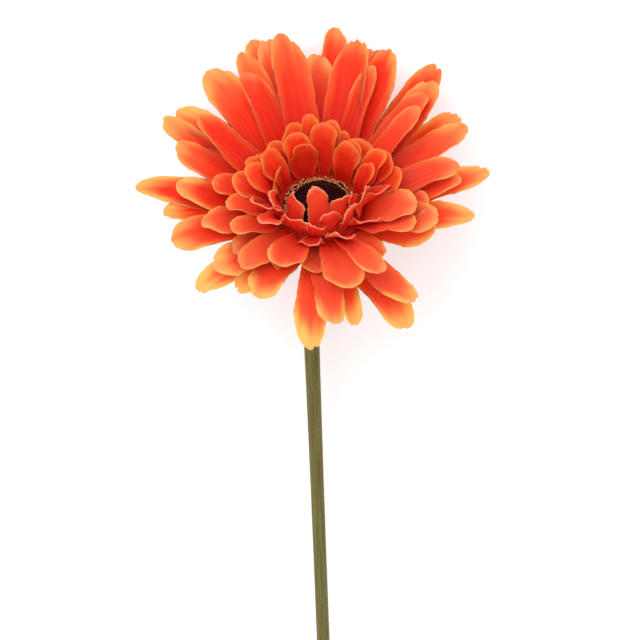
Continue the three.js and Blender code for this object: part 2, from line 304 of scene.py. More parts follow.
# `along` gives colours by share of the length. Pink streaks along the veins, partly a painted satin sheen,
# coral as painted light on the front and right blades, an orange edge, a yellow tip,
# the underside and a pale thin rim are laid over them in turn. Grains are noise scales across, along and
# from floret to floret. A pair of numbers says where a layer begins and where it is full.
petalLook = {
    "along": [(0.0, (0.38, 0.003, 0.001)), (0.25, (0.67, 0.010, 0.003)), (0.5, (0.74, 0.015, 0.004)),
              (0.72, (0.79, 0.028, 0.008)), (0.9, (0.89, 0.095, 0.028)), (1.0, (0.92, 0.17, 0.050))],
    "sheenPink": (0.93, 0.09, 0.040), "streaks": 0.28, "paintedLightCoral": (0.93, 0.135, 0.060), "paintedLightShare": 1.0,
    "edge": (0.90, 0.13, 0.035), "edging": 0.55, "tip": (0.93, 0.50, 0.14), "tipFrom": 0.99, "tipFull": 1.34,
    "under": (0.80, 0.075, 0.022), "beneath": 0.45, "rim": (0.93, 0.24, 0.08), "rimFrom": 0.90,
    "rimming": 0.28, "blotchGrain": (3, 2.2, 40), "veinGrain": (26, 1.1, 57), "fineGrain": (85, 3, 23),
    "blotchy": 0.3, "varied": 0.1, "streakBetween": (0.42, 0.7), "streakAlong": (0.1, 0.5),
    "paintedLightAlong": (0.0, 0.5), "edgeAcross": (0.45, 1.0), "edgeAlong": (0.25, 0.8), "golden": 0.32,
    "edgeGolden": 0.05, "roughness": 0.55, "shine": 0.1, "through": 0.45, "glow": (0.0030, 0.0012, 0.0006),
    "vein": 0.25, "veinDepth": 0.0004, "fineShare": 0.5,
}
openLook = {
    **petalLook,
    "along": [(0.0, (0.44, 0.005, 0.002)), (0.22, (0.72, 0.015, 0.004)), (0.45, (0.80, 0.028, 0.009)),
              (0.75, (0.86, 0.060, 0.018)), (1.0, (0.91, 0.14, 0.040))],
    "edge": (0.91, 0.17, 0.048), "edging": 0.6, "streaks": 0.15, "vein": 0.2, "tipFrom": 0.95,
    "paintedLightShare": 0.7,
}
crownLook = {
    **petalLook,
    "along": [(0.0, (0.48, 0.005, 0.001)), (0.25, (0.72, 0.012, 0.003)), (0.55, (0.82, 0.022, 0.005)),
              (0.8, (0.81, 0.055, 0.011)), (1.0, (0.80, 0.115, 0.020))],
    "edge": (0.82, 0.120, 0.020), "edging": 0.75, "tip": (0.86, 0.25, 0.045), "tipFrom": 0.92,
    "sheenPink": (0.92, 0.06, 0.020), "streaks": 0.2, "rim": (0.93, 0.22, 0.07), "rimFrom": 0.88, "rimming": 0.45,
    "under": (0.78, 0.045, 0.010), "roughness": 0.6, "through": 0.5, "vein": 0.2, "paintedLightShare": 0.2,
}
curlLook = {
    **crownLook,
    "along": [(0.0, (0.42, 0.004, 0.002)), (0.3, (0.64, 0.011, 0.005)), (0.7, (0.79, 0.028, 0.012)),
              (1.0, (0.88, 0.070, 0.030))],
    "edge": (0.92, 0.11, 0.045), "edging": 0.4, "rim": (0.95, 0.34, 0.20), "rimFrom": 0.91, "rimming": 0.65,
    "under": (0.80, 0.045, 0.018), "tipFrom": 1.1,
}


def petalMaterial(name, look):
    # deep red at the foot, orange red along the blade, orange edges, a yellow tip and fine lengthwise veins
    material, tree, shader = newSkin(name)
    across, along = grainUV(tree)
    own = mark(tree, "own")
    reach = mark(tree, "reach")
    edge = times(tree, calc(tree, "ABSOLUTE", calc(tree, "SUBTRACT", across, 0.5)), 2.0)
    blotches = grain(tree, (across, along, own), look["blotchGrain"])
    veins = grain(tree, (across, along, own), look["veinGrain"], 4, 0.6)
    small = grain(tree, (across, along, own), look["fineGrain"], 2)
    shifted = plus(tree, reach, swing(tree, blotches, look["blotchy"]))
    color = ramp(tree, plus(tree, shifted, swing(tree, own, look["varied"])), look["along"])
    # pink streaks along the veins; their pink is also a painted highlight, a satin sheen
    streaks = times(tree, fade(tree, veins, look["streakBetween"]), look["streaks"])
    color = mix(tree, times(tree, streaks, fade(tree, along, look["streakAlong"])), color, look["sheenPink"])
    # painted light: coral laid on the front and right blades, growing from the foot to halfway along
    paintedLight = times(tree, mark(tree, "paintedLight"), look["paintedLightShare"])
    color = mix(tree, times(tree, paintedLight, fade(tree, reach, look["paintedLightAlong"])), color, look["paintedLightCoral"])
    edged = times(tree, fade(tree, edge, look["edgeAcross"]), fade(tree, along, look["edgeAlong"]))
    color = mix(tree, times(tree, edged, look["edging"]), color, look["edge"])
    yellowing = plus(tree, shifted, times(tree, mark(tree, "gold"), look["golden"]))
    yellowing = plus(tree, yellowing, times(tree, edge, look["edgeGolden"]))
    color = mix(tree, fade(tree, yellowing, (look["tipFrom"], look["tipFull"])), color, look["tip"])
    color = mix(tree, times(tree, mark(tree, "under"), look["beneath"]), color, look["under"])
    thinned = fade(tree, calc(tree, "MAXIMUM", edge, reach), (look["rimFrom"], 1.0))
    color = mix(tree, times(tree, thinned, look["rimming"]), color, look["rim"])
    finish(tree, shader, color, look["roughness"], look["shine"])
    glow(shader, look["through"], look["glow"])
    height = plus(tree, veins, times(tree, small, look["fineShare"]))
    bump(tree, shader, height, look["vein"], look["veinDepth"])
    return material


skins = {
    "back": petalMaterial("petal skin", petalLook),
    "open": petalMaterial("open crown petal skin", openLook),
    "crown": petalMaterial("crown petal skin", crownLook),
    "curl": petalMaterial("curled petal skin", curlLook),
}

# Each ring sets `count` florets at equal steps from `first` degrees, 90 being the back of the bloom. `behind`
# is added to the length at the back and taken off at the front, `lean` likewise to the rise. `open` is the
# share of the length where the full width is reached, `broad` the share where the tip begins. `odd` names
# florets out of line: turned by degrees, longer and wider by millimetres, then raised, rolled and swayed by
# degrees; what a list leaves out is 0. `kind` picks the wear and the skin, and `front` gives the kind and the
# seed of the front florets where they differ.
outerRing = {"kind": "back", "bend": -4, "foot": 0.6, "open": 0.4, "loose": 2, "absent": [], "pointed": []}
innerRing = {"kind": "crown", "bend": -14, "sunk": 1.8, "foot": 0.5, "open": 0.6, "cup": 0.5, "absent": [],
             "pointed": []}
rings = {
    "back": {
        **outerRing, "count": 20, "first": 11, "length": 50, "behind": 7, "width": 11, "rise": 13, "lean": 6,
        "radius": 12.5, "height": -4.5, "sunk": 2.5, "broad": 0.7, "cup": 0.3, "gold": 1.0,
        "absent": [17, 18], "pointed": [0, 9, 19],
        "odd": {
            0: [-1, -6], 1: [6, -8], 2: [5, -1], 3: [8, 1, 0, -1], 4: [1, 1, 0, 2], 5: [4, 1, 0, 1],
            6: [-11, 3, 0, -1], 7: [4, -5], 8: [-4.5, -4], 9: [0, -2, 1], 10: [-10, -11], 11: [-17, -12],
            12: [-8, -7, -3], 13: [-14, -15, -2], 14: [3, -1, -1], 15: [4, -8, -3], 16: [2], 19: [2, -11],
        },
    },
    "second": {
        **outerRing, "count": 17, "first": 8, "length": 42, "behind": 8, "width": 11.8, "rise": 20, "lean": 7,
        "radius": 13, "height": -3, "sunk": 2.5, "broad": 0.7, "cup": 0.32, "gold": 0.8, "absent": [12, 15],
        "odd": {
            0: [-2, -8], 1: [-2, -2], 2: [-4, -1], 3: [-5], 4: [-1, -3], 5: [3, 1, -1], 6: [-8, 2.5, 2],
            7: [4, -5], 8: [1, -7], 9: [1, -1], 10: [1, -4], 11: [1, -5], 13: [-9, 5, -2], 14: [-2, 6, -1],
            16: [-10, -11],
        },
    },
    "third": {
        **outerRing, "count": 16, "first": 16, "length": 33, "behind": 8, "width": 11.5, "rise": 27,
        "lean": 8, "radius": 13.5, "height": -1.5, "sunk": 1.2, "broad": 0.68, "cup": 0.35, "gold": 0.5,
        "odd": {
            0: [-4], 1: [7, 2, -2], 2: [9, 0, -4, 1.5, 14], 3: [-7, 7, 0, -1, 8], 4: [-4, 9], 5: [-8, 1],
            6: [-2, 1], 7: [0, -10], 8: [3, -2], 9: [0, -6, 0, -2.5], 10: [0, -10, 0, -9],
            11: [0, -10, 0, -5.5], 12: [0, -6, 0, -5.5], 13: [0, -9, 0, -5.5], 14: [10, -2], 15: [0, -8],
        },
    },
    "crown": {
        **innerRing, "count": 20, "first": 14, "length": 20.5, "behind": -3.5, "width": 9, "rise": 42,
        "lean": 19, "radius": 13.5, "height": 0, "sunk": 1, "broad": 0.66, "loose": 3, "gold": 0.4,
        "absent": [14, 17], "front": ("open", 91),
        "odd": {
            0: [-2, -2, 2], 1: [-6, -1, 1], 2: [2, -2, 1], 3: [3, -1, -2], 4: [-4, 2], 5: [-6, 4, -2],
            6: [-10, 2, -1], 7: [-8, -2], 8: [-7, -2], 12: [0, 2, 1, -3, -12], 13: [-1, -1.5, 2.5, 5, -12],
            15: [-2, 4.5, 4, -2, -10, 6], 16: [-6, 7, 2, 4, -14], 18: [-7, 1.5, 4], 19: [-10, 0, 3.5],
        },
    },
    "inner": {
        **innerRing, "count": 12, "first": 25, "length": 17, "behind": 1, "width": 8.5, "rise": 63, "lean": 9,
        "radius": 13.3, "height": 1, "broad": 0.66, "loose": 4, "gold": 0.3, "front": ("curl", 131),
        "odd": {
            0: [0, 1, 1], 1: [-2, -3], 2: [2, 0, 0.5], 3: [0, -1, 0.5], 4: [5, -1.5, 1], 5: [-4, 1, 1.5],
            6: [0, 0, 0, 0, 30], 7: [-14, 0, 0, 0, 25], 8: [-4, -7, -1, -22], 9: [-4, -3, 0, 0, -20],
            10: [-4, -3, 0, 0, -35], 11: [0, -3, 0, 0, -35],
        },
    },
    "eyelash": {
        **innerRing, "count": 10, "first": 22, "length": 13, "behind": 0, "width": 8, "rise": 78, "lean": -4,
        "bend": -2, "radius": 12.9, "height": 1, "broad": 0.64, "loose": 5, "gold": 0.3, "absent": [2],
        "pointed": [0], "front": ("curl", 141),
        "odd": {
            0: [-2, 2, -0.5, 0, 25], 1: [-3, 2, 1], 3: [-20, 1, 2], 4: [-11, -4, 2.5], 6: [0, -1, 0, -6],
            7: [-14, -2, 1, -12], 8: [0, 0, 0, -6],
        },
    },
    "curl": {
        **innerRing, "count": 15, "first": 226, "length": 17, "behind": 0, "width": 7.5, "rise": 106,
        "lean": 0, "bend": 6, "radius": 12.9, "height": 1, "foot": 0.8, "open": 0.5, "broad": 0.6,
        "loose": 4, "gold": 0.2, "absent": list(range(5, 15)), "pointed": [1], "kind": "curl",
        "odd": {
            0: [-9, -5, 2, 0, 10, -10], 1: [24, 2, 1, 0, 0, 34], 2: [12, -7, -0.5, -14],
            3: [14, -3, 0, 0, 0, -6], 4: [22, -8, -1],
        },
    },
    "stray": {
        **outerRing, "count": 1, "first": 38, "length": 35, "behind": 0, "width": 9, "rise": 41, "lean": 0,
        "radius": 13.6, "height": -0.5, "sunk": 1.2, "broad": 0.66, "cup": 0.4, "loose": 1, "gold": 0.5,
        "odd": {0: [0]},
    },
}
# how far chance moves a floret that isn't odd, in degrees and, for the length, millimetres
chance = {"turn": 2, "length": 1.5, "bend": 2, "roll": 10, "twist": 8, "sway": 4}
drawsEach = 6
oddParts = ["turn", "length", "width", "rise", "roll", "sway"]
blunt, pointed = 2.6, 1.5  # the tip's outline is a power curve: the higher, the fuller


def ringLeaves(ring, draws):
    # one row of numbers for each floret that is there, shaped to spread over a grid
    number = np.arange(ring["count"])
    turning, longer, wider, higher, bending, rolling = draws.reshape(ring["count"], drawsEach).T
    own = np.zeros((ring["count"], len(oddParts)))
    own[:, 0] = turning * chance["turn"]
    own[:, 1] = longer * chance["length"]
    for i, values in ring["odd"].items():
        own[i] = values + [0] * (len(oddParts) - len(values))
    odd = dict(zip(oddParts, own.T))
    turn = ring["first"] + number * 360 / ring["count"] + odd["turn"]
    atBack = np.sin(np.radians(turn))
    leaves = {
        "turn": turn,
        "length": ring["length"] + ring["behind"] * atBack + odd["length"],
        "width": ring["width"] + odd["width"] + wider,
        "rise": ring["rise"] + ring["lean"] * atBack + higher * ring["loose"] + odd["rise"],
        "bend": ring["bend"] + bending * chance["bend"],
        "roll": rolling * chance["roll"] + odd["roll"],
        "twist": turning * chance["twist"],
        "sway": longer * chance["sway"] + odd["sway"],
        "blunt": np.where(np.isin(number, ring["pointed"]), pointed, blunt),
    }
    for key in ("radius", "height", "sunk", "foot", "open", "broad", "cup"):
        leaves[key] = np.full(ring["count"], float(ring[key]))
    kept = ~np.isin(number, ring["absent"])
    return {key: values[kept][:, None, None] for key, values in leaves.items()}


def heading(share, leaf):
    # the way a blade runs: up by rise + bend * share + curl * share^4, round by turn + sway * share
    up = np.radians(leaf["rise"] + leaf["bend"] * share + leaf["curl"] * np.maximum(share, 0) ** 4)
    around = np.radians(leaf["turn"] + leaf["sway"] * share)
    return np.stack([np.cos(up) * np.cos(around), np.cos(up) * np.sin(around), np.sin(up)], -1)


def bladePoints(share, across, lift, leaf):
    # midline: the root plus the sum of short paces along the heading; across it an arc of half angle cup,
    # turned about the midline by roll + twist * share, and lifted off its middle surface
    paces = 12
    turn = np.radians(leaf["turn"])
    root = np.stack([leaf["radius"] * np.cos(turn), leaf["radius"] * np.sin(turn), leaf["height"]], -1)
    place = root + np.zeros(share.shape + (1,))
    for pace in range(paces):
        step = (leaf["length"] * share / paces)[..., None]
        place = place + heading(share * (pace + 0.5) / paces, leaf) * step
    around = turn + np.radians(leaf["sway"] * share)
    side = np.stack([-np.sin(around), np.cos(around), 0 * around], -1)
    up = np.cross(heading(share, leaf), side)
    roll = np.radians(leaf["roll"] + leaf["twist"] * share)[..., None]
    sideways = side * np.cos(roll) + up * np.sin(roll)
    above = up * np.cos(roll) - side * np.sin(roll)
    t = np.clip(share / leaf["open"], 0, 1)
    opened = leaf["foot"] + (1 - leaf["foot"]) * (t * t * (3 - 2 * t)) ** 0.75
    half = leaf["width"] / 2 * opened * leaf["swell"]
    angle = leaf["cup"] * across
    aside = np.sin(angle) * (half / leaf["cup"] - lift)
    raised = (1 - np.cos(angle)) * half / leaf["cup"] + np.cos(angle) * lift
    return place + sideways * aside[..., None] + above * raised[..., None]


# How the finer blades depart from plain ones, for the four kinds of floret: crease, fold, wave and thick in
# millimetres, nick by share of the length, ragged by share of the width, curl in degrees.
wear = {
    "back": {"grid": (48, 23), "crease": 0.5, "fold": 0.7, "wave": 1.1, "nick": 0.04, "ragged": 0.035,
             "curl": 22, "thick": 0.45},
    "open": {"grid": (32, 23), "crease": 0.35, "fold": 0.6, "wave": 0.9, "nick": 0.04, "ragged": 0.03,
             "curl": 28, "thick": 0.42},
    "crown": {"grid": (32, 23), "crease": 0.8, "fold": 1.1, "wave": 1.3, "nick": 0.05, "ragged": 0.035,
              "curl": 32, "thick": 0.42},
    "curl": {"grid": (36, 27), "crease": 0.35, "fold": 1.6, "wave": 1.9, "nick": 0.06, "ragged": 0.06,
             "curl": 42, "thick": 0.38},
}
# The same for all four. Places and widths run from -1 to 1 across a blade; waves are radians along it.
fine = {
    "lopsided": 0.3, "nickWidths": (0.10, 0.07, 0.06), "nickDepths": (-0.2, 1.2), "raggedWaves": (34, 71),
    "creaseWidth": 0.13, "creaseShift": 0.1, "sideCrease": 0.48, "sideDepth": 0.7, "edgeWaves": 9,
    "ripples": 17, "rippleHeight": 0.25, "edgeThinner": 0.75, "tipThinner": 0.45, "thinnest": 0.07,
}
# each floret's own chances, in the order in which they are drawn
ownDraws = [
    "lopsided", "nickPlace", "nickDepth", "rightNickPlace", "rightNickDepth", "curl", "raggedPace",
    "raggedSide", "raggedStart", "middleCrease", "leftCrease", "rightCrease", "creaseDepth", "leftPace",
    "leftStart", "rightPace", "rightStart", "rippleStart", "rippleHeight", "tone", "gold", "leftNickPlace",
    "leftNickDepth", "fold",
]


def bell(x, middle, width):
    # 1 at the middle, falling as exp(-((x - middle) / width)^2)
    return np.exp(-((x - middle) / width) ** 2)


def goldAround(turn):
    # yellow tips are strongest at the front and the left: 0.67 - 0.25 sin - 0.05 cos
    return 0.67 - 0.25 * np.sin(turn) - 0.05 * np.cos(turn)


def paintedLightAround(turn):
    # painted light: the blades at the front and right are lit coral, 0.2 + 0.15 cos - 0.3 sin, never below 0
    return np.maximum(0.2 + 0.15 * np.cos(turn) - 0.3 * np.sin(turn), 0)


def bladeGrid(rows, columns):
    # u runs evenly from foot to tip, v from edge to edge as sin(90 degrees * t), so closer near the edges
    u = np.linspace(0, 1, rows)[None, :, None]
    v = np.sin(np.linspace(-1, 1, columns) * np.pi / 2)[None, None, :]
    return u, v


def bothFaces(upper, lower):
    # the upper face's columns, then the lower face's in the other order, as one closed round
    return np.concatenate([upper, lower[:, :, ::-1]], 2)


def onBoth(values, whole):
    # the same values above and below, spread over the whole grid
    return bothFaces(values + whole, values + whole)


def tipShare(u, v, own, leaf, deep):
    # a round tip seen from above: the blade ends sooner towards its edges, with a few small nicks
    first, right, left = fine["nickWidths"]
    lopsided = np.clip(v + fine["lopsided"] * own["lopsided"] * (1 - v * v), -1, 1)
    end = leaf["broad"] + (1 - leaf["broad"]) * np.clip(1 - lopsided ** 2, 0, 1) ** (1 / leaf["blunt"])
    nick = bell(v, 0.5 * own["nickPlace"], first) * (0.4 + 0.6 * own["nickDepth"])
    nick = nick + bell(v, 0.2 + 0.5 * own["rightNickPlace"], right) * own["rightNickDepth"]
    nick = nick + bell(v, -0.3 + 0.5 * own["leftNickPlace"], left) * own["leftNickDepth"]
    end = end - deep * np.clip(nick, *fine["nickDepths"])
    sunkShare = leaf["sunk"] / leaf["length"]
    return u * (end + sunkShare) - sunkShare


def bladeRelief(out, v, own, worn):
    # creases run the length of the blade, deepest in its middle third; a fold bends its halves up or down;
    # the edges wave, each at its own pace, and slanting ripples grow towards the tip
    width, shift, sideAt = fine["creaseWidth"], fine["creaseShift"], fine["sideCrease"]
    creases = bell(v, shift * own["middleCrease"], width)
    creases = creases + fine["sideDepth"] * bell(v, -sideAt + shift * own["leftCrease"], width)
    creases = creases + fine["sideDepth"] * bell(v, sideAt + shift * own["rightCrease"], width)
    relief = -worn["crease"] * creases * np.clip(out * 3, 0, 1) * (1.05 - 0.75 * out)
    relief = relief * (0.7 + 0.3 * own["creaseDepth"])
    relief = relief + worn["fold"] * own["fold"] * np.sqrt(v * v + 0.02) * np.sin(np.pi * out ** 0.8)
    left = np.sin(out * (fine["edgeWaves"] + 3 * own["leftPace"]) + 6 * own["leftStart"]) * (v > 0)
    right = np.sin(out * (fine["edgeWaves"] + 3 * own["rightPace"]) + 6 * own["rightStart"]) * (v <= 0)
    relief = relief + worn["wave"] * (left + right) * np.abs(v) ** 2.5 * out ** 0.7
    ripple = fine["rippleHeight"] * np.sin(out * fine["ripples"] + 5 * own["rippleStart"] + 2.5 * v)
    return relief + ripple * out * (0.3 + 0.7 * np.abs(own["rippleHeight"]))


def addFlorets(name, ring, leaf, kind, seed):
    # a blade for each row of leaf: tipShare gives its outline, ragged sides swell it, bladeRelief lifts it;
    # its thickness is thick * (1 - 0.75 v^2) * (1 - 0.45 out) + 0.07
    worn = wear[kind]
    rows, columns = worn["grid"]
    many = len(leaf["turn"])
    draws = evenDraws(seed, many * len(ownDraws)).reshape(many, len(ownDraws))
    own = {key: values[:, None, None] for key, values in zip(ownDraws, draws.T)}
    u, v = bladeGrid(rows, columns)
    share = tipShare(u, v, own, leaf, worn["nick"])
    out = np.clip(share, 0, 1)
    whole = 0 * share
    slow, quick = fine["raggedWaves"]
    ragged = np.sin(share * (slow + 9 * own["raggedPace"]) + 9 * own["raggedSide"] * np.sign(v))
    ragged = ragged + np.sin(share * quick + 7 * own["raggedStart"])
    leaf["swell"] = 1 + worn["ragged"] * ragged * np.abs(v) ** 3 * out
    leaf["curl"] = worn["curl"] * own["curl"]
    relief = bladeRelief(out, v, own, worn)
    thick = worn["thick"] * (1 - fine["edgeThinner"] * v * v) * (1 - fine["tipThinner"] * out)
    thick = thick + fine["thinnest"]
    upper = bladePoints(share, -v + whole, relief + thick / 2, leaf)
    lower = bladePoints(share, -v + whole, relief - thick / 2, leaf)
    points = aboveTable(bloomToPart(bothFaces(upper, lower).reshape(-1, 3)))
    faces = ringFaces(rows, 2 * columns, many)
    uv = np.stack([onBoth(v * 0.5 + 0.5, whole), onBoth(out, whole)], -1).reshape(-1, 2)
    around = np.radians(leaf["turn"])
    marks = {
        # where the painted light falls, a little uneven from floret to floret
        "paintedLight": onBoth(paintedLightAround(around) + 0.06 * own["tone"], whole).ravel(),
        "own": onBoth(own["tone"], whole).ravel(),
        "reach": onBoth(u, whole).ravel(),
        "gold": onBoth(ring["gold"] * goldAround(around) + 0.12 * own["gold"], whole).ravel(),
        "under": bothFaces(whole, whole + 1).ravel(),
    }
    addPiece("petals-" + name, points, faces, skins[kind], "petals", uv, marks)
    print("petals of the ring", name)


floretSeed = 20535
wearSeed = 71
frontBelow = 0.1  # a floret is at the front where the sine of its turn is below this
allDraws = evenDraws(floretSeed, drawsEach * sum(ring["count"] for ring in rings.values()))
taken = 0
for order, (ringName, ring) in enumerate(rings.items()):
    draws = allDraws[taken:taken + drawsEach * ring["count"]]
    taken += drawsEach * ring["count"]
    leaf = ringLeaves(ring, draws)
    if "front" in ring:
        # the front florets of a small ring look unlike those at its back, so they are a piece of their own
        front = np.sin(np.radians(leaf["turn"][:, 0, 0])) < frontBelow
        frontLeaf = {key: values[front] for key, values in leaf.items()}
        addFlorets(ringName + "-front", ring, frontLeaf, *ring["front"])
        leaf = {key: values[~front] for key, values in leaf.items()}
    addFlorets(ringName, ring, leaf, ring["kind"], wearSeed + order)


# the heart is the bed that all the ray florets grow from
heart = {
    "profile": [[0.05, -7], [6, -7.1], [11.2, -7], [12.6, -6.5], [13.6, -5.8], [14.5, -3.4], [15, -0.6],
                [14.8, 0.2], [14.3, 0.9], [13.7, 1.2], [13, 1.35], [12.3, 1.35], [11.9, 1.1], [11.9, -2.3],
                [8, -2.3], [0.05, -2.3]],
    "sides": 90, "dark": (0.32, 0.006, 0.003), "light": (0.54, 0.020, 0.008), "spots": 900, "roughness": 0.7,
    "depth": 0.0003,
}


def spottedMaterial(name, look):
    # two tones in blotches and in specks a fifth their size, with bump from the specks
    material, tree, shader = newSkin(name)
    blotches = speckle(tree, look["spots"], 4)
    specks = speckle(tree, look["spots"] * 5)
    tone = plus(tree, times(tree, blotches, 0.6), times(tree, specks, 0.4))
    color = mix(tree, fade(tree, tone, (0.38, 0.64)), look["dark"], look["light"])
    finish(tree, shader, color, look["roughness"], 0.12)
    bump(tree, shader, specks, 0.6, look["depth"])
    return material


heartPoints = bloomToPart(turned(heart["profile"], heart["sides"]).reshape(-1, 3))
heartFaces = ringFaces(len(heart["profile"]), heart["sides"])
addPiece("petals-heart", heartPoints, heartFaces, spottedMaterial("heart", heart), "petals")
print("heart made")


def posts(profile, sides, *each):
    # many small upright florets: a profile of [share of thickness, share of height] turned about each one's
    # own axis, which stands at reach and turn from the bloom's and leans outward by lean, in radians
    reach, turn, tall, thick, foot, lean = (values[:, None, None] for values in each)
    profile = np.array(profile, float)
    angle = anglesRound(sides)
    across = profile[None, :, 0, None] * thick
    high = profile[None, :, 1, None] * tall + 0 * angle
    outward = across * np.cos(angle) + high * np.sin(lean) + reach
    sideways = across * np.sin(angle) + 0 * high
    x = outward * np.cos(turn) - sideways * np.sin(turn)
    y = outward * np.sin(turn) + sideways * np.cos(turn)
    return np.stack([x, y, foot + high * np.cos(lean)], -1)


# the eye: dark florets that are still shut, set in a spiral on a shallow bed
eye = {
    "radius": 10.0, "floor": -2.0, "count": 300, "bud": 0.58, "tall": 2.0, "uneven": 0.15, "foot": -1.2,
    "inset": 0.35, "lean": -0.25, "seed": 8, "bedSides": 60, "budSides": 6, "goldenAngle": 137.508,
    "dark": (0.010, 0.0008, 0.003), "light": (0.085, 0.006, 0.012), "spots": 1500, "roughness": 0.8,
    "depth": 0.0002,
    "budShape": [[0.75, 0], [1.0, 0.35], [1.0, 0.6], [0.75, 0.82], [0.2, 1.0]],
}


def addEye():
    # bud n of N stands at radius * sqrt(n / N), turned by n golden angles; towards the rim buds are taller
    # and lean inward, so the eye is a shallow bowl
    draws = np.random.default_rng(eye["seed"])
    number = np.arange(eye["count"])
    reach = (eye["radius"] - eye["inset"]) * np.sqrt((number + 0.5) / eye["count"])
    turn = np.radians(eye["goldenAngle"]) * number
    inward = reach / eye["radius"]
    tall = eye["tall"] * (0.75 + 0.35 * inward) + draws.uniform(-eye["uneven"], eye["uneven"], eye["count"])
    foot = eye["foot"] + 0.25 * (1 - inward)
    thick = eye["bud"] * (0.8 + 0.25 * inward)
    buds = posts(eye["budShape"], eye["budSides"], reach, turn, tall, thick, foot, eye["lean"] * inward)
    wide, floor = eye["radius"], eye["floor"]
    bedShape = [[0.05, floor], [6, floor], [wide, floor], [wide, -1.2], [wide - 0.3, -0.6], [6.4, -0.35],
                [3, -0.2], [0.05, -0.2]]
    bed = turned(bedShape, eye["bedSides"])
    points = bloomToPart(np.concatenate([bed.reshape(-1, 3), buds.reshape(-1, 3)]))
    bedFaces = ringFaces(len(bedShape), eye["bedSides"])
    budFaces = ringFaces(len(eye["budShape"]), eye["budSides"], eye["count"]) + bed.size // 3
    faces = np.concatenate([bedFaces, budFaces])
    addPiece("disc-florets", points, faces, spottedMaterial("dark eye", eye), "disc")


addEye()
print("eye made")

# the anthers on the golden rim; `inset`, `rowStep` and `shift` are millimetres outward, `lean` is in radians
anther = {
    "thick": 0.37, "inset": 0.35, "rowStep": 0.5, "shift": 0.12, "spacing": 0.35, "shorter": 0.5,
    "longer": 0.4, "lean": 0.22, "uneven": 0.16, "foot": -0.1, "seed": 12, "sides": 6, "bandSides": 96,
    "shape": [[0.5, 0], [0.45, 0.7], [0.95, 0.8], [1.0, 0.9], [0.35, 1.0]], "golden": [0, 0, 1, 1, 1],
    "shaft": (0.070, 0.014, 0.005), "dark": (0.42, 0.14, 0.042), "light": (0.76, 0.40, 0.16),
    "spots": 1400, "between": (0.36, 0.64), "roughness": 0.7, "shine": 0.12, "bump": 0.5, "depth": 0.0002,
}


def antherMaterial():
    # dark shafts with golden heads, which are speckled in two golds
    material, tree, shader = newSkin("golden anthers")
    specks = speckle(tree, anther["spots"])
    gold = mix(tree, fade(tree, specks, anther["between"]), anther["dark"], anther["light"])
    color = mix(tree, mark(tree, "golden"), anther["shaft"], gold)
    finish(tree, shader, color, anther["roughness"], anther["shine"])
    bump(tree, shader, specks, anther["bump"], anther["depth"])
    return material


def addRim():
    # a low band round the eye; the anthers stand on it in two rows by turns, the inner row leaning inward
    draws = np.random.default_rng(anther["seed"])
    bandShape = [[rim["inner"], rim["floor"]], [rim["outer"], rim["floor"]], [rim["outer"], rim["bandTop"]],
                 [(rim["inner"] + rim["outer"]) / 2, rim["bandTop"] + 0.15], [rim["inner"], rim["bandTop"]]]
    band = turned(bandShape, anther["bandSides"])
    bandFaces = hoopFaces(len(bandShape), anther["bandSides"])
    many = rim["rows"] * rim["count"]
    line = np.arange(many) % rim["rows"]
    shift = draws.uniform(-anther["shift"], anther["shift"], many)
    reach = rim["inner"] + anther["inset"] + anther["rowStep"] * line + shift
    spacing = draws.uniform(-anther["spacing"], anther["spacing"], many)
    turn = 2 * np.pi * (np.arange(many) + spacing) / many
    tall = rim["top"] + draws.uniform(-anther["shorter"], anther["longer"], many)
    uneven = draws.uniform(-anther["uneven"], anther["uneven"], many)
    lean = -anther["lean"] + anther["lean"] * line + uneven
    thick, foot = np.full(many, anther["thick"]), np.full(many, anther["foot"])
    tips = posts(anther["shape"], anther["sides"], reach, turn, tall, thick, foot, lean)
    tipFaces = ringFaces(len(anther["shape"]), anther["sides"], many) + band.size // 3
    heads = np.tile(np.repeat(anther["golden"], anther["sides"]), many)
    marks = {"golden": np.concatenate([np.zeros(band.size // 3), heads])}
    points = bloomToPart(np.concatenate([band.reshape(-1, 3), tips.reshape(-1, 3)]))
    faces = np.concatenate([bandFaces, tipFaces])
    addPiece("anther-rim", points, faces, antherMaterial(), "anthers", None, marks)


addRim()
print("rim of anthers made")

# the calyx: a green cup with two rows of bracts
calyx = {
    "profile": [[0.05, -17], [1.6, -17.05], [3.1, -17], [3.7, -16.4], [4.6, -15.6], [6.4, -14.1], [8, -12.6],
                [9.3, -11.2], [10.2, -9.8], [10.8, -8.4], [11, -7.3], [6, -7.3], [0.05, -7.3]],
    "sides": 72, "ribs": 24, "ribDepth": 0.012, "seed": 31,
    "green": (0.10, 0.16, 0.030), "pale": (0.26, 0.30, 0.09), "red": (0.22, 0.05, 0.03), "redness": 0.8,
    "grain": (14, 1.5, 7), "blotches": (3, 7, 11), "streaks": 0.7, "blotchy": 0.8, "between": (0.15, 0.55),
    "roughness": 0.6, "shine": 0.4, "through": 0.05, "glow": (0.001, 0.0012, 0.0005), "bump": 0.5,
    "depth": 0.0003,
    "rows": [
        {"count": 12, "first": 4, "height": -15.9, "radius": 4.3, "length": 8.6, "width": 4.2, "rise": 41,
         "bend": 14},
        {"count": 14, "first": 16, "height": -13.2, "radius": 7.6, "length": 10.5, "width": 5.4, "rise": 42,
         "bend": 22},
    ],
}
bract = {
    "grid": (16, 11), "turn": 3, "longer": 0.08, "wider": 0.06, "broad": 0.3, "blunt": 1.5, "sunk": 1.2,
    "keel": 0.35, "keelWidth": 0.25, "thick": 0.55, "edgeThinner": 0.75, "thinnest": 0.08,
    "plain": {"roll": 0, "twist": 0, "sway": 0, "foot": 0.8, "open": 0.3, "cup": 0.5, "curl": 0, "swell": 1},
}


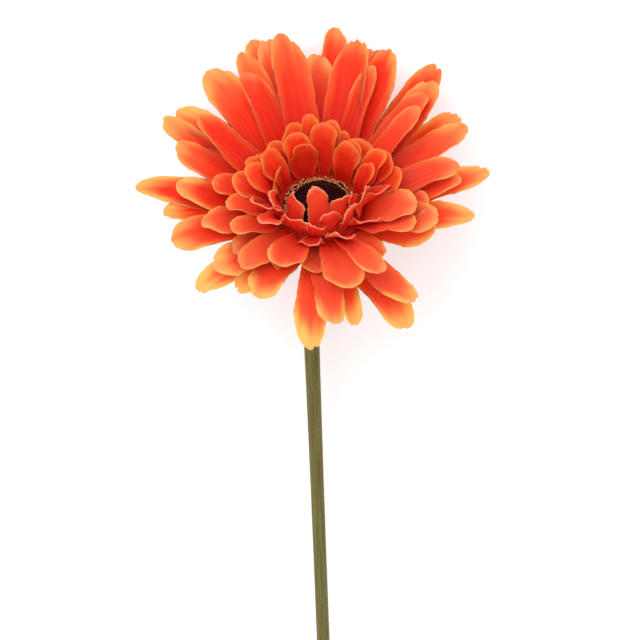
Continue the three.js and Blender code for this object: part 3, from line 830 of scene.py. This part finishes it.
def calyxMaterial():
    # lengthwise streaks of two greens, reddish where `reach` nears 1
    material, tree, shader = newSkin("calyx")
    across, along = grainUV(tree)
    own = mark(tree, "own")
    streaks = grain(tree, (across, along, own), calyx["grain"], 4, 0.6)
    blotches = grain(tree, (across, along, own), calyx["blotches"])
    tone = plus(tree, times(tree, streaks, calyx["streaks"]), swing(tree, blotches, calyx["blotchy"]))
    color = mix(tree, fade(tree, tone, calyx["between"]), calyx["green"], calyx["pale"])
    color = mix(tree, times(tree, mark(tree, "reach"), calyx["redness"]), color, calyx["red"])
    finish(tree, shader, color, calyx["roughness"], calyx["shine"])
    glow(shader, calyx["through"], calyx["glow"])
    bump(tree, shader, streaks, calyx["bump"], calyx["depth"])
    return material


def bractPoints(row, seed):
    # the ray florets' blade, short and pointed, with a keel along its middle
    rows, columns = bract["grid"]
    many = row["count"]
    turning, longer, wider, tone = evenDraws(seed, many * 4).reshape(many, 4).T[:, :, None, None]
    leaf = {key: np.full((many, 1, 1), float(value)) for key, value in {**bract["plain"], **row}.items()}
    leaf["turn"] = (row["first"] + np.arange(many) * 360 / many)[:, None, None] + bract["turn"] * turning
    leaf["length"] = leaf["length"] * (1 + bract["longer"] * longer)
    leaf["width"] = leaf["width"] * (1 + bract["wider"] * wider)
    u, v = bladeGrid(rows, columns)
    end = bract["broad"] + (1 - bract["broad"]) * np.clip(1 - v * v, 0, 1) ** (1 / bract["blunt"])
    sunkShare = bract["sunk"] / leaf["length"]
    share = u * (end + sunkShare) - sunkShare
    out = np.clip(share, 0, 1)
    whole = 0 * share
    keel = bract["keel"] * bell(v, 0, bract["keelWidth"]) * (1 - 0.6 * out)
    thick = bract["thick"] * (1 - bract["edgeThinner"] * v * v) + bract["thinnest"]
    upper = bladePoints(share, -v + whole, -keel + thick / 2, leaf)
    lower = bladePoints(share, -v + whole, -keel - thick / 2, leaf)
    uv = np.stack([onBoth(v * 0.5, whole), onBoth(out, whole)], -1).reshape(-1, 2)
    reach = onBoth(out ** 4, whole).ravel()
    points = bothFaces(upper, lower).reshape(-1, 3)
    return points, ringFaces(rows, 2 * columns, many), uv, reach, onBoth(tone, whole).ravel()


def addCalyx():
    # the cup's profile turned round, its radius less by ribDepth * (1 + cos(ribs * angle)); then the bracts
    cup = turned(calyx["profile"], calyx["sides"])
    angle = anglesRound(calyx["sides"])
    cup[..., :2] *= (1 - calyx["ribDepth"] * (1 + np.cos(calyx["ribs"] * angle)))[None, :, None]
    cupUV = np.stack([np.cos(angle) + 0 * cup[..., 0], cup[..., 2] / 10], -1).reshape(-1, 2)
    plain = np.zeros(len(cupUV))
    parts = [(cup.reshape(-1, 3), ringFaces(len(calyx["profile"]), calyx["sides"]), cupUV, plain, plain)]
    parts += [bractPoints(row, calyx["seed"] + order) for order, row in enumerate(calyx["rows"])]
    points, faces, uv, reach, own = zip(*parts)
    starts = np.cumsum([0] + [len(part) for part in points[:-1]])
    points = bloomToPart(np.concatenate(points))
    faces = np.concatenate([part + start for part, start in zip(faces, starts)])
    marks = {"reach": np.concatenate(reach), "own": np.concatenate(own)}
    addPiece("calyx-bracts", points, faces, calyxMaterial(), "calyx", np.concatenate(uv), marks)


addCalyx()
print("calyx made")

# the stem: `bow` and `drift` move it aside, `sink` lets its cut end rest in the table's surface
stem = {
    "foot": -17.3, "neck": 3.05, "end": 2.2, "ease": 60, "bendRadius": 75, "slope": 3.1, "bow": 4.4,
    "bowLength": 34, "drift": 2.05, "sink": 0.2, "slant": 1.8, "sides": 36, "rows": 150, "rowSpread": 1.15,
    "ribs": 9, "ribDepth": 0.022, "ribTwist": 0.01, "swelling": 0.01, "swellLength": 23,
    "closing": [(0.93, 0.0), (0.75, 0.15), (0.45, 0.4), (0.02, 0.5)],
    "green": (0.098, 0.090, 0.021), "pale": (0.185, 0.160, 0.046), "paleBetween": (0.32, 0.68),
    "brown": (0.125, 0.068, 0.020), "brownBetween": (0.45, 0.75), "browning": 0.6, "cut": (0.42, 0.44, 0.20),
    "grain": (16, 0.5, 0), "blotches": (2.2, 0.35, 0), "specks": (40, 14, 0), "speckShare": 0.35,
    "roughness": 0.5, "shine": 0.2, "bump": 0.3, "depth": 0.0003,
}
stemStart = bloomToPart(np.array([0.0, 0.0, stem["foot"]])) / mm
bendLength = stem["bendRadius"] * np.radians(faceLift - stem["slope"])


def stemPlace(along):
    # down through a bend of bendRadius, then straight on at the slope; bowed left by a smooth step within
    # bowLength, while it drifts right all the way
    bent = np.minimum(along, bendLength)
    lift = np.radians(faceLift)
    angle = lift - bent / stem["bendRadius"]
    straight = along - bent
    back = stem["bendRadius"] * (np.sin(lift) - np.sin(angle)) + straight * np.cos(angle)
    down = stem["bendRadius"] * (np.cos(angle) - np.cos(lift)) + straight * np.sin(angle)
    t = np.clip(along / stem["bowLength"], 0, 1)
    aside = along * np.tan(np.radians(stem["drift"])) - stem["bow"] * t * t * (3 - 2 * t)
    return np.stack([stemStart[0] + aside, stemStart[1] - back, stemStart[2] - down], -1)


def stemRadius(along):
    # from neck to end, easing off as exp(-along / ease)
    return stem["end"] + (stem["neck"] - stem["end"]) * np.exp(-along / stem["ease"])


bendFoot = stemPlace(np.array(bendLength))[2] - stem["end"] + stem["sink"]
stemLength = bendLength + bendFoot / np.sin(np.radians(stem["slope"]))


def unit(way):
    # each vector divided by its own length
    return way / np.linalg.norm(way, axis=-1, keepdims=True)


def stemFrame(along):
    # the direction, the level side and the upward normal of the stem's line
    line = unit(stemPlace(along + 1) - stemPlace(np.maximum(along - 1, 0)))
    side = unit(np.array([1.0, 0, 0]) - line * line[..., :1])
    return line, side, np.cross(line, side)


def stemSkin(along, angle, proud=0.0):
    # a circle of the stem's radius carried along its line, with shallow ribs and slow swellings
    rib = 1 + stem["ribDepth"] * np.cos(stem["ribs"] * angle + stem["ribTwist"] * along)
    rib = rib + stem["swelling"] * np.sin(along / stem["swellLength"] + 2 * angle)
    radius = stemRadius(along) * rib + proud
    line, side, up = stemFrame(along)
    around = side * np.cos(angle)[..., None] + up * np.sin(angle)[..., None]
    return stemPlace(along) + around * radius[..., None], around, line


def stemMaterial():
    # fine lengthwise streaks of two greens under brown patches; the cut end is pale
    material, tree, shader = newSkin("stem skin")
    across, down = grainUV(tree)
    streaks = grain(tree, (across, down, down), stem["grain"], 4, 0.65)
    blotches = grain(tree, (across, down, down), stem["blotches"])
    specks = grain(tree, (across, down, down), stem["specks"], 2)
    color = mix(tree, fade(tree, streaks, stem["paleBetween"]), stem["green"], stem["pale"])
    browned = times(tree, fade(tree, blotches, stem["brownBetween"]), stem["browning"])
    color = mix(tree, browned, color, stem["brown"])
    color = mix(tree, mark(tree, "cut"), color, stem["cut"])
    finish(tree, shader, color, stem["roughness"], stem["shine"])
    height = plus(tree, streaks, times(tree, specks, stem["speckShare"]))
    bump(tree, shader, height, stem["bump"], stem["depth"])
    return material


def addStem():
    # the skin from the bloom to the cut, with one narrow row closing its top and rows closing its slanted,
    # slightly hollow cut
    angle = anglesRound(stem["sides"])[None, :]
    share = np.linspace(0, 1, stem["rows"])[:, None] ** stem["rowSpread"]
    along = share * stemLength + 0 * angle
    points, around, line = stemSkin(along, angle)
    middle = stemPlace(along[-1])
    slant = stem["slant"] * (1 + np.sin(angle[0]))[:, None]
    closing = []
    for shrink, hollow in stem["closing"]:
        inset = slant * shrink + stem["slant"] * (1 - shrink) + hollow
        closing.append(middle + (points[-1] - middle) * shrink - line[-1] * inset)
    points[-1] = points[-1] - line[-1] * slant
    top = stemPlace(along[0])
    points = np.concatenate([[top + (points[0] - top) * 0.02], points, closing])
    ends = np.ones(len(closing))
    cut = np.concatenate([np.zeros(stem["rows"] + 1), ends])[:, None] + 0 * angle
    lengthwise = np.concatenate([[0], share[:, 0], ends])[:, None] * stemLength / 10 + 0 * angle
    uv = np.stack([np.abs(angle / np.pi - 1) + 0 * lengthwise, lengthwise], -1).reshape(-1, 2)
    faces = ringFaces(len(points), stem["sides"])
    points = aboveTable(points.reshape(-1, 3) * mm)
    addPiece("stem-skin", points, faces, stemMaterial(), "stem", uv, {"cut": cut.ravel()})


# the stem's down: each hair's `shape` gives share of length, share of thickness and sag
down = {
    "count": 1500, "long": 0.9, "thick": 0.035, "sunk": 0.15, "seed": 5, "from": 0.004, "to": 0.985,
    "spread": 1.1, "sides": 4, "shape": [(0, 1, 0), (0.55, 0.8, 0.05), (1.0, 0.15, 0.22)],
    "pale": (0.50, 0.50, 0.30), "dull": (0.34, 0.30, 0.14), "spots": 300, "roughness": 0.6,
}


def addDown():
    # short fine hairs: four-sided spikes rooted in the skin, leaning towards the cut end
    draws = np.random.default_rng(down["seed"])
    many = down["count"]
    along = (draws.uniform(down["from"], down["to"], many) ** down["spread"]) * stemLength
    angle = draws.uniform(0, 2 * np.pi, many)
    foot, around, line = stemSkin(along, angle, -down["sunk"])
    tall = down["long"] * draws.uniform(0.5, 1.1, many)[:, None]
    way = unit(around + line * draws.uniform(-0.1, 0.8, many)[:, None])
    side = unit(np.cross(line, way))
    flat = np.cross(way, side)
    turn = anglesRound(down["sides"])
    girth = side[:, None] * np.cos(turn)[None, :, None] + flat[:, None] * np.sin(turn)[None, :, None]
    hairRows = []
    for reach, thick, sag in down["shape"]:
        middle = foot + way * (tall + down["sunk"]) * reach + line * sag * tall
        hairRows.append(middle[:, None] + girth * down["thick"] * thick)
    points = np.stack(hairRows, 1).reshape(-1, 3)
    material, tree, shader = newSkin("stem down")
    color = mix(tree, speckle(tree, down["spots"]), down["pale"], down["dull"])
    tree.links.new(color, shader.inputs["Base Color"])
    shader.inputs["Roughness"].default_value = down["roughness"]
    faces = ringFaces(len(down["shape"]), down["sides"], many)
    addPiece("stem-down", aboveTable(points * mm), faces, material, "stem")


addStem()
addDown()
print("stem made")

# the surroundings, in metres; the floor's own faint light keeps the shadow as faint as in the photograph
studio = {
    "floor": {"Base Color": (0.98, 0.98, 0.98, 1), "Roughness": 0.9, "Emission Color": (1, 1, 1, 1),
              "Emission Strength": 0.1},
    "half": 3, "sky": 0.95, "lightPlace": (-0.35, 0.9, 1.2), "lightSize": 1.2, "lightPower": 10,
}


def addFloor():
    # a square, from -half to half both ways
    half = studio["half"]
    corners = [(-half, -half, 0), (half, -half, 0), (half, half, 0), (-half, half, 0)]
    mesh = bpy.data.meshes.new("floor")
    mesh.from_pydata(corners, [], [(0, 1, 2, 3)])
    material, tree, shader = newSkin("pale floor")
    for name, value in studio["floor"].items():
        shader.inputs[name].default_value = value
    mesh.materials.append(material)
    addObject("floor", mesh)


def addLight():
    # a large soft light, turned so that it looks from its place at the middle of the eye
    data = bpy.data.lights.new("large soft light", "AREA")
    data.size = studio["lightSize"]
    data.energy = studio["lightPower"]
    light = addObject("large soft light", data)
    light.location = studio["lightPlace"]
    way = eyeMiddle - np.array(studio["lightPlace"])
    flat = np.hypot(way[0], way[1])
    light.rotation_euler = (np.arctan2(flat, -way[2]), 0, np.arctan2(way[1], way[0]) - np.pi / 2)


def addSky():
    # even white light from all round
    world = bpy.data.worlds.new("studio")
    world.use_nodes = True
    background = world.node_tree.nodes["Background"]
    background.inputs["Color"].default_value = (1, 1, 1, 1)
    background.inputs["Strength"].default_value = studio["sky"]
    bpy.context.scene.world = world


addFloor()
addSky()
addLight()
bpy.context.scene.view_settings.view_transform = "Standard"
print("floor and light made")
